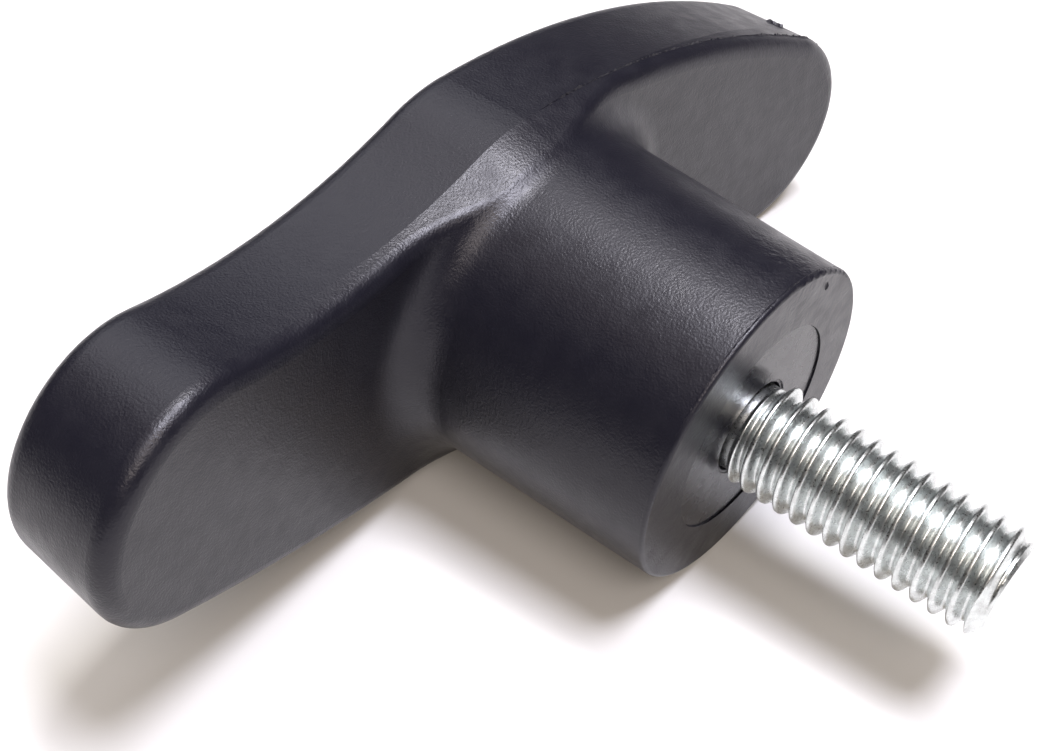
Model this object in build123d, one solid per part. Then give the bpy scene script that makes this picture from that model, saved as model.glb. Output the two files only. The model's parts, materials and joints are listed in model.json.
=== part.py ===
from build123d import *
import os
from math import asin, atan2, degrees, hypot, radians, sqrt, tan

os.makedirs("parts", exist_ok=True)

# Driving dimensions, in millimetres and degrees.
# Both parts are drawn with the stud along +Z and the boss's end face at z = 0, and are laid down last.

# Steel stud
thread_r = 3.0            # major radius of the M6 thread
stud_length = 15.0        # thread that stands out of the boss
tip_chamfer = 0.7
shank_r = 2.7             # plain shank inside the plastic
head_depth = 8.0          # from the end face to the anchoring head
head_flats = 10.0         # width across the hexagon's flats
head_height = 4.0
head_chamfer = 0.5

# Tapered boss
boss_end_r = 9.3
boss_draft = 1.85         # per side
boss_length = 15.7        # from the end face to the wings' front face
rim_round = 0.25
seat_r = 6.1              # round field about the stud on the end face
seat_depth = 0.18         # the field lies this far below the end face
root_round = 2.4          # fillet between the boss and the wings

# Wings: an S outline made of tangent arcs, the same after half a turn
wing_thickness = 7.3
wing_draft = 2.0          # the band narrows towards the back
hub_margin = 0.8          # hub outline beyond the boss's root
slope_margin = 0.06       # the hub's sloped flank ends this far outside the boss
tip_r = 7.1               # arc round each wing's tip
tip_x = 23.6              # centre of the right tip's arc
tip_y = 1.85
push_r = 60.0             # long bulging flank
waist_r = 30.0            # hollow flank
bow_r = 230.0             # the wings bend towards the stud by this radius
front_round = 1.0
back_round = 1.1

# Sizes that follow from the ones above
boss_root_r = boss_end_r + boss_length * tan(radians(boss_draft))
hub_r = boss_root_r + hub_margin
front_z = -boss_length
back_z = front_z - wing_thickness
part_z = front_z - front_round      # level where the mould parts, at the middle
middle_z = (front_z + back_z) / 2
tip_reach = hypot(tip_x, tip_y)
reach = tip_reach + 2 * tip_r         # half size of the blank that the outline is cut from
slope_z = front_z + root_round        # the sloped flank ends with the root fillet
slope_r = boss_end_r - slope_z * tan(radians(boss_draft)) + slope_margin
flare = (part_z - slope_z) * tan(radians(wing_draft))     # draft of the wings up to that level


# Point at the given distances from two centres, on one side of the line between them
def circlesMeet(first, first_r, second, second_r, side):
    dx, dy = second[0] - first[0], second[1] - first[1]
    gap = hypot(dx, dy)
    along = (first_r ** 2 - second_r ** 2 + gap ** 2) / (2 * gap)
    across = side * sqrt(first_r ** 2 - along ** 2)
    return (
        first[0] + (along * dx - across * dy) / gap,
        first[1] + (along * dy + across * dx) / gap,
    )


# Point of a circle in the direction of another point
def onCircle(centre, radius, towards):
    dx, dy = towards[0] - centre[0], towards[1] - centre[1]
    scale = radius / hypot(dx, dy)
    return (centre[0] + dx * scale, centre[1] + dy * scale)


# Middle of the shorter arc between two points of a circle
def arcMiddle(centre, radius, start, end):
    return onCircle(centre, radius, ((start[0] + end[0]) / 2, (start[1] + end[1]) / 2))


def opposite(point):
    return (-point[0], -point[1])


hub = (0.0, 0.0)
tip = (tip_x, tip_y)


# The S outline about a hub of the given radius, drawn in by a constant distance
def wingOutline(radius, inset):
    push = circlesMeet(hub, push_r - radius, tip, push_r - tip_r, -1)
    waist = circlesMeet(hub, waist_r + radius, opposite(tip), waist_r + tip_r, -1)
    hub_arc, tip_arc = radius - inset, tip_r - inset
    push_arc, waist_arc = push_r - inset, waist_r + inset
    waist_start = onCircle(opposite(tip), tip_arc, waist)
    waist_end = onCircle(hub, hub_arc, waist)
    push_start = onCircle(push, push_arc, hub)
    push_end = onCircle(push, push_arc, tip)
    half = [
        ThreePointArc(waist_start, arcMiddle(waist, waist_arc, waist_start, waist_end), waist_end),
        ThreePointArc(waist_end, arcMiddle(hub, hub_arc, waist_end, push_start), push_start),
        ThreePointArc(push_start, arcMiddle(push, push_arc, push_start, push_end), push_end),
        ThreePointArc(push_end, onCircle(tip, tip_arc, (2 * tip_x, 2 * tip_y)), opposite(waist_start)),
    ]
    return make_face(Wire(half + [edge.rotate(Axis.Z, 180) for edge in half]))


# The outline at one level of the drafted band
def bandOutline(z):
    return Pos(0, 0, z) * wingOutline(hub_r, (part_z - z) * tan(radians(wing_draft)))


# Plate with both faces bent round one cylinder, so that the wing tips come forward
axis_z = part_z + bow_r
bend = Circle(axis_z - back_z) - Circle(axis_z - front_z)
plate = extrude(Plane.XZ * Pos(0, axis_z) * bend, amount=reach, both=True)
plate &= Box(2 * reach, 2 * reach, bow_r, align=(Align.CENTER, Align.CENTER, Align.MAX))

# Boss on the plate, with the root fillet
boss = Cone(
    boss_end_r - middle_z * tan(radians(boss_draft)),
    boss_end_r,
    -middle_z,
    align=(Align.CENTER, Align.CENTER, Align.MAX),
)
blank = plate + boss
root_edges = [
    edge
    for edge in blank.edges()
    if edge.geom_type != GeomType.LINE
    and hypot(edge.center().X, edge.center().Y) < boss_root_r
    and front_z - 1 < edge.center().Z < front_z + 2
]
blank = fillet(root_edges, root_round)

# The band cuts the S outline through plate and fillet: behind the parting line with the mould's
# draft, and before it with a flank that slopes in at the hub, so that the hub runs into the boss
slope_end = Pos(0, 0, slope_z) * wingOutline(slope_r + flare, flare)
band = (
    loft([bandOutline(back_z - back_round), bandOutline(part_z)], ruled=True)
    + loft([bandOutline(part_z), slope_end], ruled=True)
    + extrude(slope_end, amount=-slope_z)
)
body = blank & band


# Edges that bound the band towards the back or towards the front, without its upright seams and
# the edge along the parting line
def bandEdges(solid, at_back):
    sides = [
        face
        for face in solid.faces()
        if abs(face.normal_at(face.center()).Z) < 0.4 and face.center().Z < front_z + root_round / 2
    ]
    return [
        edge
        for face in sides
        for edge in face.edges()
        if abs((edge % 0.5).Z) < 0.5
        and abs(edge.center().Z - part_z) > front_round / 10
        and (edge.center().Z < middle_z) == at_back
    ]


body = fillet(bandEdges(body, True), back_round)
body = fillet(bandEdges(body, False), front_round)

# End face: rounded rim and the shallow round field about the stud
rim = body.faces().sort_by(Axis.Z)[-1].edges()
body = fillet(rim, rim_round)
body -= Cylinder(seat_r, seat_depth, align=(Align.CENTER, Align.CENTER, Align.MAX))

# Stud: thread from the foot of the seat to a chamfered tip, and below it the plain shank and the
# hexagon head that the plastic is moulded round
thread = Cylinder(thread_r, seat_depth + stud_length, align=(Align.CENTER, Align.CENTER, Align.MIN))
thread = chamfer(thread.edges().sort_by(Axis.Z)[-1], tip_chamfer)
shank = Cylinder(shank_r, head_depth, align=(Align.CENTER, Align.CENTER, Align.MIN))
head = extrude(RegularPolygon(head_flats / 2, 6, major_radius=False), amount=head_height)
head &= Cone(
    head_flats / sqrt(3) - head_chamfer,
    head_flats / sqrt(3) - head_chamfer + head_height / tan(radians(30)),
    head_height,
    align=(Align.CENTER, Align.CENTER, Align.MIN),
)
stud = (
    Pos(0, 0, -seat_depth) * thread
    + Pos(0, 0, -head_depth) * shank
    + Pos(0, 0, -head_depth - head_height) * head
)
body -= stud

# Laid down on its hub, its lower wing and the rim of the boss
tilt = asin((hub_r - boss_end_r) / hypot(hub_r - boss_end_r, part_z))
tip_bow = tip_reach ** 2 / (2 * bow_r)
roll = atan2(tip_y, tip_x) + asin((hub_r - tip_bow * tan(tilt) - tip_r) / tip_reach)
lying = Rot(90 + degrees(tilt), 0, 0) * Rot(0, 0, -degrees(roll))
body = lying * body
stud = lying * stud
box = (body + stud).bounding_box()
down = Pos(-box.center().X, -box.center().Y, -box.min.Z)
body = down * body
stud = down * stud

export_step(body, "parts/wing_grip.step")
export_step(stud, "parts/threaded_stud.step")
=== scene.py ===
import json
import math
import random
import bmesh
import bpy
from mathutils import Matrix, Vector


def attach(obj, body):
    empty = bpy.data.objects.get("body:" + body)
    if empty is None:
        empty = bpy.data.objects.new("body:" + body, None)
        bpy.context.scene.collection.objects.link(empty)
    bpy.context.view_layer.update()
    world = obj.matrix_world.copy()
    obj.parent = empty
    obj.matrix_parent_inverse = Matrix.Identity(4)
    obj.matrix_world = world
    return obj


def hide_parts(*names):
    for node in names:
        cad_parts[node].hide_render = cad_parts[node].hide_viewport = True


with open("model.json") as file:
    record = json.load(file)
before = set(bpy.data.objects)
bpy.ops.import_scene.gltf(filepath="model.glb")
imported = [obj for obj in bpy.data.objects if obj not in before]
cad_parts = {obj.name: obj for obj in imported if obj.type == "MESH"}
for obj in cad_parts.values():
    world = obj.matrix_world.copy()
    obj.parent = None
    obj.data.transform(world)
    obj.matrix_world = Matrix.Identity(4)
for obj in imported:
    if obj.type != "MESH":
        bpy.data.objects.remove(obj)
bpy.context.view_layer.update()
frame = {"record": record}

mm = 0.001
random.seed(6)

# The screw's own directions: stud along z from the boss's end face, wings along x
mounts = {mount["name"]: mount for mount in frame["record"]["mounts"]}
studAxis = Vector(mounts["stud_thread"]["axis"]).normalized()
studPoint = Vector(mounts["stud_thread"]["pos_m"])
seatPoint = Vector(mounts["boss_seat"]["pos_m"])
endCentre = studPoint + studAxis * (seatPoint - studPoint).dot(studAxis)
wingRoll = math.radians(12.77)  # the right wing hangs down by this turn about the stud
levelX = Vector((1, 0, 0))
levelY = studAxis.cross(levelX)
wingX = levelX * math.cos(wingRoll) - levelY * math.sin(wingRoll)
wingY = studAxis.cross(wingX)
screwPlace = Matrix((wingX, wingY, studAxis)).transposed().to_4x4()
screwPlace.translation = endCentre


# A point given in mm from the middle of the boss's end face
def onScrew(x, y, z):
    return screwPlace @ Vector((x * mm, y * mm, z * mm))


def screwDirection(x, y, z):
    return (screwPlace.to_3x3() @ Vector((x, y, z))).normalized()


def newPiece(name, bm, material, smooth=True):
    bmesh.ops.recalc_face_normals(bm, faces=bm.faces)
    mesh = bpy.data.meshes.new(name)
    bm.to_mesh(mesh)
    bm.free()
    piece = bpy.data.objects.new(name, mesh)
    bpy.context.collection.objects.link(piece)
    mesh.materials.append(material)
    for face in mesh.polygons:
        face.use_smooth = smooth
    return piece


def newMaterial(name, colour):
    material = bpy.data.materials.new(name)
    material.use_nodes = True
    shader = material.node_tree.nodes["Principled BSDF"]
    shader.inputs["Base Color"].default_value = (*colour, 1)
    return material, material.node_tree.nodes, material.node_tree.links, shader


def addNoise(nodes, links, size, detail, bite=0.5):
    place = nodes.new("ShaderNodeTexCoord")
    grain = nodes.new("ShaderNodeTexNoise")
    grain.inputs["Scale"].default_value = 1 / (size * mm)
    grain.inputs["Detail"].default_value = detail
    grain.inputs["Roughness"].default_value = bite
    links.new(place.outputs["Object"], grain.inputs["Vector"])
    return grain.outputs["Fac"]


noiseMiddle = (0.3, 0.7)  # nearly all of a noise lies between these


# Turns the values from start to end into the range low to high
def addRange(nodes, links, value, low, high, start=noiseMiddle[0], end=noiseMiddle[1]):
    span = nodes.new("ShaderNodeMapRange")
    span.inputs["From Min"].default_value = start
    span.inputs["From Max"].default_value = end
    span.inputs["To Min"].default_value = low
    span.inputs["To Max"].default_value = high
    links.new(value, span.inputs["Value"])
    return span.outputs["Result"]


def addMath(nodes, links, operation, first, second):
    node = nodes.new("ShaderNodeMath")
    node.operation = operation
    for socket, value in zip(node.inputs, (first, second)):
        if isinstance(value, float):
            socket.default_value = value
        else:
            links.new(value, socket)
    return node.outputs["Value"]


def addBump(nodes, links, height, depth, shader):
    bump = nodes.new("ShaderNodeBump")
    bump.inputs["Strength"].default_value = 1.0
    bump.inputs["Distance"].default_value = depth * mm
    links.new(height, bump.inputs["Height"])
    links.new(bump.outputs["Normal"], shader.inputs["Normal"])


nylon = {
    "colour": (0.0080, 0.0077, 0.0125),
    "specular": 0.38,
    "tint": (0.96, 0.95, 1.0),
    "roughness": (0.30, 0.41),
    "smoothRoughness": (0.24, 0.30),  # the moulded field about the stud
    "mottle": 1.1,                    # mm, patches of higher and lower gloss
    "mottleDetail": 6,
    "fineGrain": 0.13,                # mm
    "fineDetail": 2.0,
    "fineBite": 0.5,                  # how much of the grain is in its finest part
    "coarseGrain": 0.6,               # mm
    "coarseDetail": 1,
    "coarseShare": 0.5,               # against the fine grain
    "grainDepth": 0.021,              # mm
    "smoothGrainDepth": 0.003,
    "lumpGrain": 0.42,                # mm, rough patch beside the boss's rim
    "lumpDetail": 2,
    "lumpDepth": 3.0,                 # against the fine grain
    "lumpPlace": (0.8, 9.3, -1.3),
    "lumpReach": (1.0, 3.8),          # full up to the first, gone at the second
}


def makeNylon(name, roughness, grainDepth, withLumps):
    material, nodes, links, shader = newMaterial(name, nylon["colour"])
    shader.inputs["Specular IOR Level"].default_value = nylon["specular"]
    shader.inputs["Specular Tint"].default_value = (*nylon["tint"], 1)
    fine = addNoise(nodes, links, nylon["fineGrain"], nylon["fineDetail"], nylon["fineBite"])
    coarse = addNoise(nodes, links, nylon["coarseGrain"], nylon["coarseDetail"])
    coarse = addMath(nodes, links, "MULTIPLY", coarse, nylon["coarseShare"])
    height = addMath(nodes, links, "ADD", fine, coarse)
    if withLumps:
        lumps = addNoise(nodes, links, nylon["lumpGrain"], nylon["lumpDetail"])
        place = nodes.new("ShaderNodeTexCoord")
        away = nodes.new("ShaderNodeVectorMath")
        away.operation = "DISTANCE"
        links.new(place.outputs["Object"], away.inputs[0])
        away.inputs[1].default_value = onScrew(*nylon["lumpPlace"])
        near, far = nylon["lumpReach"]
        patch = addRange(
            nodes, links, away.outputs["Value"], nylon["lumpDepth"], 0, near * mm, far * mm
        )
        lumps = addMath(nodes, links, "MULTIPLY", lumps, patch)
        height = addMath(nodes, links, "ADD", height, lumps)
    addBump(nodes, links, height, grainDepth, shader)
    mottle = addNoise(nodes, links, nylon["mottle"], nylon["mottleDetail"])
    links.new(addRange(nodes, links, mottle, *roughness), shader.inputs["Roughness"])
    return material


zinc = {
    "light": (0.71, 0.745, 0.74),
    "dark": (0.55, 0.57, 0.565),
    "darkUpTo": 0.35,       # of the mottle's range
    "lightFrom": 0.6,
    "mottle": 0.6,          # mm
    "roughness": (0.25, 0.35),
    "grain": 0.12,          # mm
    "grainDepth": 0.003,
    "detail": 2,
}


def makeZinc():
    material, nodes, links, shader = newMaterial("bright_zinc", zinc["light"])
    shader.inputs["Metallic"].default_value = 1.0
    mottle = addNoise(nodes, links, zinc["mottle"], zinc["detail"])
    ramp = nodes.new("ShaderNodeValToRGB")
    dark, light = ramp.color_ramp.elements
    dark.position = zinc["darkUpTo"]
    dark.color = (*zinc["dark"], 1)
    light.position = zinc["lightFrom"]
    light.color = (*zinc["light"], 1)
    links.new(mottle, ramp.inputs["Fac"])
    links.new(ramp.outputs["Color"], shader.inputs["Base Color"])
    grain = addNoise(nodes, links, zinc["grain"], zinc["detail"])
    links.new(addRange(nodes, links, grain, *zinc["roughness"]), shader.inputs["Roughness"])
    addBump(nodes, links, grain, zinc["grainDepth"], shader)
    return material


grainedNylon = makeNylon("grained_nylon", nylon["roughness"], nylon["grainDepth"], True)
smoothNylon = makeNylon(
    "smooth_nylon", nylon["smoothRoughness"], nylon["smoothGrainDepth"], False
)
brightZinc = makeZinc()
print("finishes made")

grip = bpy.data.objects["wing_grip"]
grip.data.materials.clear()
grip.data.materials.append(grainedNylon)

# Lengths in mm, levels along the stud from the boss's end face
stud = {
    "majorR": 3.0,
    "minorR": 2.44,
    "pitch": 1.0,
    "phase": 0.37,        # brings the crests to where the photo has them
    "crest": 0.04,        # half of the crest's flat, in pitches
    "root": 0.47,         # from here on the valley's floor, in pitches
    "length": 15.0,
    "tipChamfer": 0.7,
    "neckR": 2.52,        # plain neck where the thread runs out
    "neckEnd": 0.22,
    "runOut": 0.45,
    "neckFoot": -0.3,     # from here down the neck widens to the shank
    "socketZ": -0.6,      # bottom of the narrow gap round the neck
    "shankTop": -1.2,
    "shankR": 2.7,
    "shankSides": 48,
    "headZ": -8.0,
    "headHeight": 4.0,
    "headFlats": 10.0,
    "around": 120,        # points round the thread, and rows in one pitch
    "perPitch": 28,
    "weld": 0.002,
    "sliver": 0.001,
    "sharpAngle": 40,
}


def smoothStep(low, high, value):
    t = min(max((value - low) / (high - low), 0.0), 1.0)
    return t * t * (3 - 2 * t)


def threadR(phase):
    away = abs(phase % 1.0 - 0.5)  # from the crest's middle, in pitches
    depth = stud["majorR"] - stud["minorR"]
    return stud["majorR"] - depth * smoothStep(stud["crest"], stud["root"], away)


def studR(phase, z):
    widening = smoothStep(stud["neckFoot"], stud["socketZ"], z)
    neck = stud["neckR"] + (stud["shankR"] - stud["neckR"]) * widening
    full = smoothStep(stud["neckEnd"], stud["neckEnd"] + stud["runOut"], z)
    r = neck + (threadR(phase) - neck) * full
    return min(r, stud["majorR"] - stud["tipChamfer"] + max(0.0, stud["length"] - z))


def makeStud():
    bm = bmesh.new()
    around, perPitch, pitch = stud["around"], stud["perPitch"], stud["pitch"]
    low, high = stud["shankTop"], stud["length"]
    firstRow = math.floor((low / pitch - 2) * perPitch)
    lastRow = math.ceil((high / pitch) * perPitch)
    rows = []
    for k in range(firstRow, lastRow + 1):
        ring = []
        for i in range(around):
            turn = i / around
            z = (k / perPitch + turn + stud["phase"]) * pitch
            r = studR(k / perPitch, z)
            z = min(max(z, low), high)
            angle = turn * 2 * math.pi
            ring.append(bm.verts.new((r * mm * math.cos(angle), r * mm * math.sin(angle), z * mm)))
        rows.append(ring)
    for k in range(len(rows) - 1):
        for i in range(around - 1):
            bm.faces.new((rows[k][i], rows[k][i + 1], rows[k + 1][i + 1], rows[k + 1][i]))
        # the last point of a row joins the first point one pitch further on
        if k + 1 + perPitch < len(rows):
            a, b = rows[k][around - 1], rows[k + perPitch][0]
            c, d = rows[k + 1 + perPitch][0], rows[k + 1][around - 1]
            bm.faces.new((a, b, c, d))
    bmesh.ops.remove_doubles(bm, verts=bm.verts, dist=stud["weld"] * mm)
    bmesh.ops.dissolve_degenerate(bm, edges=bm.edges, dist=stud["sliver"] * mm)
    bmesh.ops.holes_fill(bm, edges=[e for e in bm.edges if e.is_boundary])
    # plain shank and hexagon head inside the plastic
    shankR, headZ = stud["shankR"] * mm, stud["headZ"]
    bmesh.ops.create_cone(
        bm,
        cap_ends=True,
        segments=stud["shankSides"],
        radius1=shankR,
        radius2=shankR,
        depth=(low - headZ) * mm,
        matrix=Matrix.Translation((0, 0, (low + headZ) / 2 * mm)),
    )
    cornerR = stud["headFlats"] / math.sqrt(3) * mm
    bmesh.ops.create_cone(
        bm,
        cap_ends=True,
        segments=6,
        radius1=cornerR,
        radius2=cornerR,
        depth=stud["headHeight"] * mm,
        matrix=Matrix.Translation((0, 0, (headZ - stud["headHeight"] / 2) * mm)),
    )
    bmesh.ops.transform(bm, matrix=screwPlace, verts=bm.verts)
    piece = newPiece("steel_stud", bm, brightZinc)
    piece.data.set_sharp_from_angle(angle=math.radians(stud["sharpAngle"]))
    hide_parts("threaded_stud")
    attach(piece, "root")


makeStud()
print("stud made")

# Smooth field on the end face, lying in the shallow round recess
field = {
    "outerR": 6.095,
    "innerR": 2.85,
    "floorZ": -0.185,
    "topZ": -0.10,
    "edgeRound": 0.03,
    "around": 160,
    "sharpAngle": 30,
}


def makeField():
    bm = bmesh.new()
    edge = field["edgeRound"]
    profile = (
        (field["innerR"], field["floorZ"]),
        (field["innerR"], field["topZ"] - edge),
        (field["innerR"] + edge, field["topZ"]),
        (field["outerR"] - edge, field["topZ"]),
        (field["outerR"], field["topZ"] - edge),
        (field["outerR"], field["floorZ"]),
    )
    rings = []
    for i in range(field["around"]):
        angle = 2 * math.pi * i / field["around"]
        across, up = math.cos(angle), math.sin(angle)
        rings.append([bm.verts.new(onScrew(r * across, r * up, z)) for r, z in profile])
    for i in range(field["around"]):
        this, following = rings[i], rings[(i + 1) % field["around"]]
        for j in range(len(profile)):
            k = (j + 1) % len(profile)
            bm.faces.new((this[j], following[j], following[k], this[k]))
    piece = newPiece("seat_field", bm, smoothNylon)
    piece.data.set_sharp_from_angle(angle=math.radians(field["sharpAngle"]))
    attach(piece, "root")


makeField()
print("seat made")

# Ragged moulding flash: thin low ridges that stand on the grip's surface
ridge = {
    "sink": 0.015,         # mm, the feet reach this far into the plastic
    "lean": 0.5,           # of the half width, to either side
    "burst": (0.4, 1.0),   # how high a new burst rises
    "flicker": (0.5, 1.0),
    "decay": 0.45,         # left of a burst at the next station
    "endHeight": 0.3,      # of one station's share of the fade
}


def addRidge(bm, path, outward, across, heights, halfWidth):
    stations = []
    for point, out, side, height in zip(path, outward, across, heights):
        feet = []
        for sign in (-1, 1):
            _, foot, normal, _ = grip.closest_point_on_mesh(point + side * sign * halfWidth * mm)
            feet.append(foot - normal * ridge["sink"] * mm)
        _, top, _, _ = grip.closest_point_on_mesh(point)
        lean = side * random.uniform(-ridge["lean"], ridge["lean"]) * halfWidth * mm
        corners = (feet[0], top + lean + out * height * mm, feet[1])
        stations.append([bm.verts.new(corner) for corner in corners])
    for this, following in zip(stations, stations[1:]):
        for j in range(3):
            k = (j + 1) % 3
            bm.faces.new((this[j], this[k], following[k], following[j]))
    bm.faces.new(stations[0])
    bm.faces.new(reversed(stations[-1]))


# Heights that rise and fall in short bursts
def raggedHeights(count, low, high, chance):
    heights, burst = [], 0.0
    for _ in range(count):
        if random.random() < chance:
            burst = random.uniform(*ridge["burst"])
        heights.append(low + (high - low) * burst * random.uniform(*ridge["flicker"]))
        burst *= ridge["decay"]
    return heights


# Brings a ridge down to almost nothing over some stations at each end
def fadeEnds(heights, stations):
    last = len(heights) - 1
    more = ridge["endHeight"]
    return [
        height * min(1.0, (i + more) / stations, (last - i + more) / stations)
        for i, height in enumerate(heights)
    ]


# Over the right wing's long bulging flank and on round its tip
parting = {
    "flankCentre": (8.04, -48.74),
    "flankR": 60.0,
    "tipCentre": (23.6, 1.85),
    "tipR": 7.1,
    "tipTurn": 35,         # degrees of the tip that the line goes round
    "level": -16.7,        # of the parting line at the hub
    "bow": 460.0,          # and its bend along the wings
    "step": 0.13,          # between two stations
    "heights": (0.05, 0.2),
    "chance": 0.25,        # of a new burst at a station
    "fade": 30,
    "halfWidth": 0.07,
}

# A torn bit that stands up behind the parting line, where the right wing's end begins
torn = {
    "start": (25.7, 8.64, -16.85),
    "step": 0.14,
    "count": 10,
    "outward": (0.3, 1.0, 0),
    "across": (1.0, -0.3, 0),
    "heights": (0.13, 0.22),
    "endHeight": 0.05,
    "halfWidth": 0.12,
}


def makePartingFlash():
    bm = bmesh.new()
    flankR, tipR = parting["flankR"], parting["tipR"]
    cx, cy = parting["flankCentre"]
    tx, ty = parting["tipCentre"]
    places = []
    start, end = math.atan2(-cy, -cx), math.atan2(ty - cy, tx - cx)
    count = round((start - end) * flankR / parting["step"])
    for i in range(count):
        angle = start + (end - start) * i / count
        places.append((cx + flankR * math.cos(angle), cy + flankR * math.sin(angle), angle))
    tipTurn = math.radians(parting["tipTurn"])
    count = round(tipTurn * tipR / parting["step"])
    for i in range(count):
        angle = end - tipTurn * i / count
        places.append((tx + tipR * math.cos(angle), ty + tipR * math.sin(angle), angle))
    path = [onScrew(x, y, parting["level"] + x * x / parting["bow"]) for x, y, _ in places]
    outward = [screwDirection(math.cos(angle), math.sin(angle), 0) for _, _, angle in places]
    across = [studAxis] * len(path)
    heights = raggedHeights(len(path), *parting["heights"], parting["chance"])
    heights = fadeEnds(heights, parting["fade"])
    addRidge(bm, path, outward, across, heights, parting["halfWidth"])

    count = torn["count"]
    x, y, z = torn["start"]
    path = [onScrew(x, y, z - torn["step"] * i) for i in range(count)]
    outward = [screwDirection(*torn["outward"])] * count
    across = [screwDirection(*torn["across"])] * count
    heights = [random.uniform(*torn["heights"]) for _ in range(count)]
    heights[0] = heights[-1] = torn["endHeight"]
    addRidge(bm, path, outward, across, heights, torn["halfWidth"])
    piece = newPiece("parting_flash", bm, grainedNylon, smooth=False)
    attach(piece, "root")


# Small burrs along the boss's rim, strongest near its top
rim = {
    "r": 9.31,
    "level": -0.27,
    "start": 20,           # degrees round the stud, from the right wing's side
    "turn": 170,
    "count": 225,
    "forward": 0.3,        # how far the burrs point along the stud as well as outward
    "heights": (0.02, 0.13),
    "chance": 0.2,
    "strongest": 95,       # degrees
    "spread": 32,
    "least": 0.25,         # share of the height that is left far from there
    "fade": 8,
    "halfWidth": 0.06,
}

# Small mark on the end face
mark = {
    "start": (2.95, 8.05),
    "step": (0.02, -0.16),
    "across": (1.0, 0.1, 0),
    "heights": (0.02, 0.09, 0.08, 0.02),
    "halfWidth": 0.06,
}


def makeRimFlash():
    bm = bmesh.new()
    start, turn = math.radians(rim["start"]), math.radians(rim["turn"])
    angles = [start + turn * i / rim["count"] for i in range(rim["count"] + 1)]
    path, outward, across, heights = [], [], [], []
    ragged = raggedHeights(len(angles), *rim["heights"], rim["chance"])
    for angle, height in zip(angles, ragged):
        path.append(onScrew(rim["r"] * math.cos(angle), rim["r"] * math.sin(angle), rim["level"]))
        outward.append(screwDirection(math.cos(angle), math.sin(angle), rim["forward"]))
        across.append(studAxis)
        strength = math.exp(-((math.degrees(angle) - rim["strongest"]) / rim["spread"]) ** 2)
        heights.append(height * (rim["least"] + (1 - rim["least"]) * strength))
    addRidge(bm, path, outward, across, fadeEnds(heights, rim["fade"]), rim["halfWidth"])

    count = len(mark["heights"])
    x, y = mark["start"]
    stepX, stepY = mark["step"]
    path = [onScrew(x + stepX * i, y + stepY * i, 0) for i in range(count)]
    across = [screwDirection(*mark["across"])] * count
    addRidge(bm, path, [studAxis] * count, across, mark["heights"], mark["halfWidth"])
    piece = newPiece("rim_flash", bm, grainedNylon, smooth=False)
    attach(piece, "root")


makePartingFlash()
makeRimFlash()
print("flash made")

paper = {
    "half": 2.0,                   # m from the middle to each side
    "colour": (0.66, 0.655, 0.65),
    "roughness": 0.8,
    "glow": (1.0, 0.84, 0.68),     # keeps the shadows pale and warm
    "glowStrength": 0.05,
}


def makeFloor():
    half = paper["half"]
    corners = [(-half, -half, 0), (half, -half, 0), (half, half, 0), (-half, half, 0)]
    mesh = bpy.data.meshes.new("floor")
    mesh.from_pydata(corners, [], [(0, 1, 2, 3)])
    floor = bpy.data.objects.new("floor", mesh)
    bpy.context.collection.objects.link(floor)
    whitePaper, _, _, shader = newMaterial("white_paper", paper["colour"])
    shader.inputs["Roughness"].default_value = paper["roughness"]
    shader.inputs["Emission Color"].default_value = (*paper["glow"], 1)
    shader.inputs["Emission Strength"].default_value = paper["glowStrength"]
    mesh.materials.append(whitePaper)


makeFloor()
print("floor made")

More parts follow.
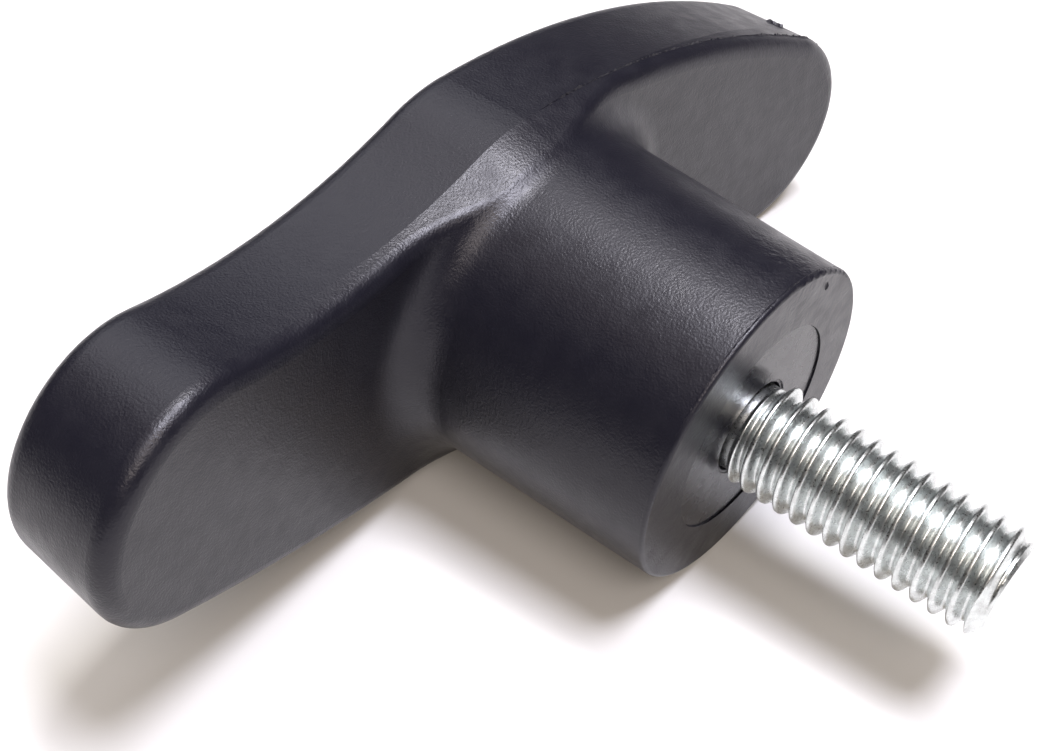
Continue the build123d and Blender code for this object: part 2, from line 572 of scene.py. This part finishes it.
# Lamps: azimuth 0 stands in front, on the stud's side, 90 on the right and 180 behind
lamps = {
    "overhead": {
        "azimuth": 26,
        "elevation": 76,
        "away": 0.9,
        "size": 0.32,
        "power": 9.6,
        "colour": (0.9, 0.9, 1.0),
    },
    "overhead_right": {
        "azimuth": 100,
        "elevation": 78,
        "away": 0.9,
        "size": 0.18,
        "power": 3.2,
        "colour": (1.0, 0.99, 1.0),
    },
    "ceiling": {
        "azimuth": 0,
        "elevation": 90,
        "away": 1.4,
        "size": 2.4,
        "power": 8.5,
        "colour": (1.0, 0.88, 0.77),
    },
    "back_right": {
        "azimuth": 152,
        "elevation": 50,
        "away": 1.0,
        "size": 0.8,
        "power": 2.8,
        "colour": (0.95, 0.96, 1.0),
    },
    "front_left": {
        "azimuth": -35,
        "elevation": 50,
        "away": 1.2,
        "size": 0.6,
        "power": 5.8,
        "colour": (1.0, 0.89, 0.8),
    },
}
room = {"colour": (1.0, 0.9, 0.78), "strength": 0.025}  # light from everywhere else


def addLamp(name, lamp):
    data = bpy.data.lights.new(name, "AREA")
    data.shape = "DISK"
    data.size = lamp["size"]
    data.energy = lamp["power"]
    data.color = lamp["colour"]
    azimuth, elevation = math.radians(lamp["azimuth"]), math.radians(lamp["elevation"])
    towards = Vector((
        math.sin(azimuth) * math.cos(elevation),
        -math.cos(azimuth) * math.cos(elevation),
        math.sin(elevation),
    ))
    holder = bpy.data.objects.new(name, data)
    holder.location = towards * lamp["away"]
    holder.rotation_euler = towards.to_track_quat("Z", "Y").to_euler()
    bpy.context.collection.objects.link(holder)


for lampName, lamp in lamps.items():
    addLamp(lampName + "_lamp", lamp)
world = bpy.data.worlds.new("room")
world.use_nodes = True
background = world.node_tree.nodes["Background"]
background.inputs["Color"].default_value = (*room["colour"], 1)
background.inputs["Strength"].default_value = room["strength"]
bpy.context.scene.world = world
bpy.context.scene.view_settings.view_transform = "Standard"

view = {
    "place": Vector((-49.68, -31.784, 68.697)) * mm,
    "right": Vector((0.649198, -0.760505, -0.012990)),
    "ahead": Vector((0.533124, 0.467145, -0.705371)),
    "lens": 54.38,
    "sensor": 36,
    "nearest": 0.001,  # m
}
cameraData = bpy.data.cameras.new("camera")
cameraData.lens = view["lens"]
cameraData.sensor_width = view["sensor"]
cameraData.clip_start = view["nearest"]
camera = bpy.data.objects.new("camera", cameraData)
up = view["right"].cross(view["ahead"]).normalized()
camera.matrix_world = Matrix((view["right"], up, -view["ahead"])).transposed().to_4x4()
camera.matrix_world.translation = view["place"]
bpy.context.collection.objects.link(camera)
bpy.context.scene.camera = camera
print("light and camera set")
